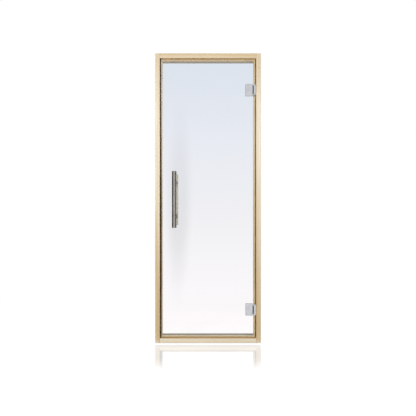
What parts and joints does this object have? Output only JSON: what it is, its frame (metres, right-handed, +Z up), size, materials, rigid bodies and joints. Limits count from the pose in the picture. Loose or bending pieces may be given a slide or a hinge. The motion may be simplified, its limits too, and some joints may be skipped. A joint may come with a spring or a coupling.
{
  "type": "framed glass sauna door",
  "caption": "Sauna door: pale timber frame with a stop all round, clear glass leaf on two clamp hinges, steel tube pull outside and timber grip inside.",
  "frame": {"origin": "middle of the threshold's underside, half way through the frame's depth, where the door stands on the floor", "axes": "+X to the right seen from outside (the hinge side), +Y from outside into the sauna, +Z up"},
  "size_m": [0.69, 0.158, 1.89],
  "materials": {
    "frame_timber": "planed pale timber, clear oiled",
    "grip_timber": "turned pale timber, sanded",
    "pane": "clear toughened glass, seamed edges",
    "seal": "brown silicone, matte",
    "hinge_metal": "satin",
    "pull_steel": "brushed, darker",
    "fasteners": "plain stainless",
    "pads": "dark grey fibre",
    "bushes": "natural acetal"
  },
  "bodies": {
    "frame": {"jamb_lock_side": "frame_timber", "jamb_hinge_side": "frame_timber", "head_rail": "frame_timber", "threshold_rail": "frame_timber", "seal_lock_side": "seal", "seal_hinge_side": "seal", "seal_head": "seal", "seal_threshold": "seal", "corner_screws_lock_side": "fasteners", "corner_screws_hinge_side": "fasteners", "upper_hinge_bracket": "hinge_metal", "upper_bracket_screws": "fasteners", "upper_hinge_bushes": "bushes", "lower_hinge_bracket": "hinge_metal", "lower_bracket_screws": "fasteners", "lower_hinge_bushes": "bushes"},
    "door_leaf": {"glass_pane": "pane", "upper_hinge_plate": "hinge_metal", "upper_hinge_counterplate": "hinge_metal", "upper_hinge_outer_pad": "pads", "upper_hinge_inner_pad": "pads", "upper_clamp_screws": "fasteners", "upper_hinge_pin": "fasteners", "lower_hinge_plate": "hinge_metal", "lower_hinge_counterplate": "hinge_metal", "lower_hinge_outer_pad": "pads", "lower_hinge_inner_pad": "pads", "lower_clamp_screws": "fasteners", "lower_hinge_pin": "fasteners", "handle_tube": "pull_steel", "handle_cap_upper": "pull_steel", "handle_post_upper": "pull_steel", "grip_post_upper": "pull_steel", "handle_cap_lower": "pull_steel", "handle_post_lower": "pull_steel", "grip_post_lower": "pull_steel", "handle_gaskets_outer": "pads", "handle_gaskets_inner": "pads", "handle_sleeves": "pads", "handle_studs": "fasteners", "inner_grip": "grip_timber"}
  },
  "joints": [
    {"name": "leaf_swing", "type": "hinge", "parent": "frame", "child": "door_leaf", "pos_m": [0.3065, -0.0455, 0.945], "axis": [0, 0, 1], "range_deg": [0, 110]}
  ]
}
